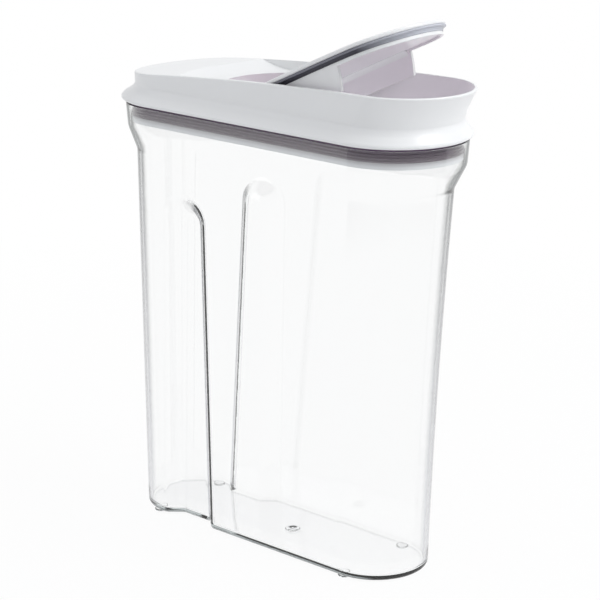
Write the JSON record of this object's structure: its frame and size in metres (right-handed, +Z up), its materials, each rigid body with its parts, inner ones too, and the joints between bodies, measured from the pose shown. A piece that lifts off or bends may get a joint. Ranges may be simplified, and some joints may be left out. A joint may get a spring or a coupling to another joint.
{
  "type": "cereal container",
  "caption": "Tall narrow clear food container with finger grooves, a push-on lid with a pour lip and a flip cover that rocks open on pivots, sealed by soft gaskets.",
  "frame": {"origin": "centre of the bounding box in plan, at the table under the jar's four feet", "axes": "+X towards the pour lip, +Y across the container away from the viewer's side, +Z up; at rest the lid is on and the flip cover is open"},
  "size_m": [0.2653, 0.0938, 0.3483],
  "materials": {
    "clear_plastic": "clear and glossy",
    "white_plastic": "smooth satin white",
    "grey_seal": "soft matte"
  },
  "bodies": {
    "jar": {"jar": "clear_plastic"},
    "lid": {"lid_shell": "white_plastic", "plug_ring": "white_plastic", "lid_gasket": "grey_seal", "pivot_pin_near": "white_plastic", "pivot_pin_far": "white_plastic"},
    "cover": {"cover_top": "white_plastic", "cover_gasket": "grey_seal", "cover_base": "white_plastic"}
  },
  "joints": [
    {"name": "lid_lift", "type": "slide", "parent": "jar", "child": "lid", "axis": [0, 0, 1], "range_m": [0, 0.03]},
    {"name": "cover_flip", "type": "hinge", "parent": "lid", "child": "cover", "pos_m": [0.0162, 0, 0.2829], "axis": [0, 1, 0], "range_deg": [0, 22.9]}
  ]
}
